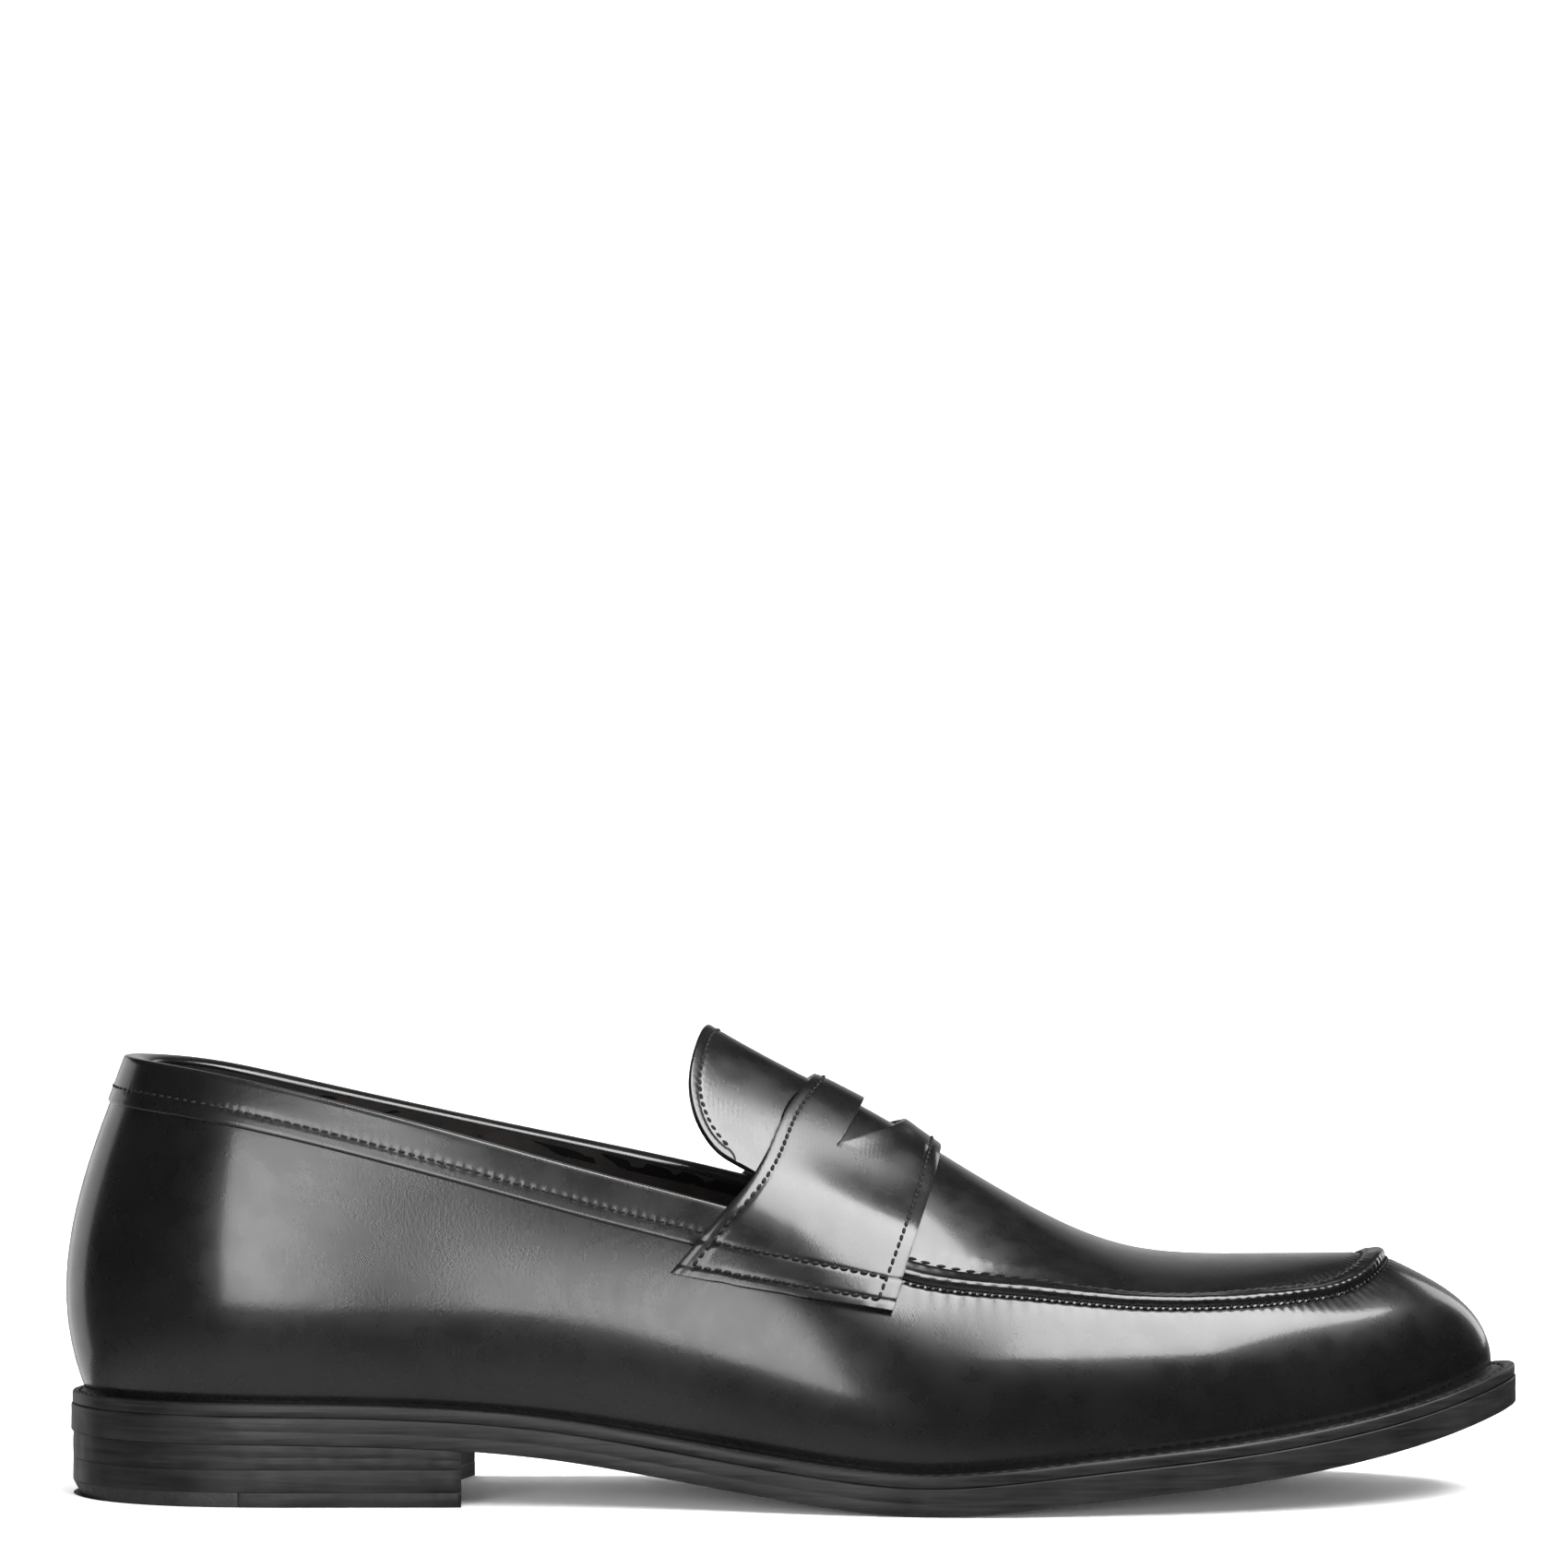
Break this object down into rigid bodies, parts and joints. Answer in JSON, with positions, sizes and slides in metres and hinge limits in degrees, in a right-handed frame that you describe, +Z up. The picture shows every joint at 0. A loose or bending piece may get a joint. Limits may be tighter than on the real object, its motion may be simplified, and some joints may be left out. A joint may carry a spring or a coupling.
{
  "type": "penny loafer",
  "caption": "Black high-shine leather slip-on shoe with a raised apron, a saddle strap with a penny slot, a tongue, a flat welt and a low stacked heel",
  "frame": {"origin": "bottom centre of the shoe's bounding box, on the ground", "axes": "+X from heel to toe, +Y to the inner side of this right shoe, +Z up"},
  "size_m": [0.2999, 0.1043, 0.0962],
  "materials": {
    "upper_leather": "polished black leather",
    "lining_leather": "matt black-brown lining leather",
    "tongue_backing": "taupe lining leather",
    "sole_edge": "dark waxed sole leather",
    "heel_rubber": "dull black rubber",
    "steel": "spring steel",
    "cork": "ground cork",
    "board": "fibre board",
    "foam": "latex foam",
    "nail_brass": "brass"
  },
  "bodies": {
    "shoe": {"outsole": "sole_edge", "welt": "sole_edge", "steel_shank": "steel", "cork_filler": "cork", "insole": "board", "sock_lining": "lining_leather", "heel_pad": "foam", "heel_lift_upper": "sole_edge", "heel_lift_lower": "sole_edge", "top_piece_rubber": "heel_rubber", "top_piece_leather": "sole_edge", "heel_nails": "nail_brass", "skirt": "upper_leather", "quarter_lining": "lining_leather", "vamp_lining": "lining_leather", "heel_counter": "board", "toe_puff": "board", "collar_band": "upper_leather", "apron_ridge": "upper_leather", "apron": "upper_leather", "apron_lining": "lining_leather", "saddle_strap": "upper_leather", "strap_lining": "lining_leather"},
    "tongue": {"tongue": "upper_leather", "tongue_lining": "tongue_backing"}
  },
  "joints": [
    {"name": "tongue_lift", "type": "hinge", "parent": "shoe", "child": "tongue", "pos_m": [0.003, 0, 0.0845], "axis": [0, 1, 0], "range_deg": [0, 25], "stiffness_Nm_per_rad": 0.05}
  ]
}
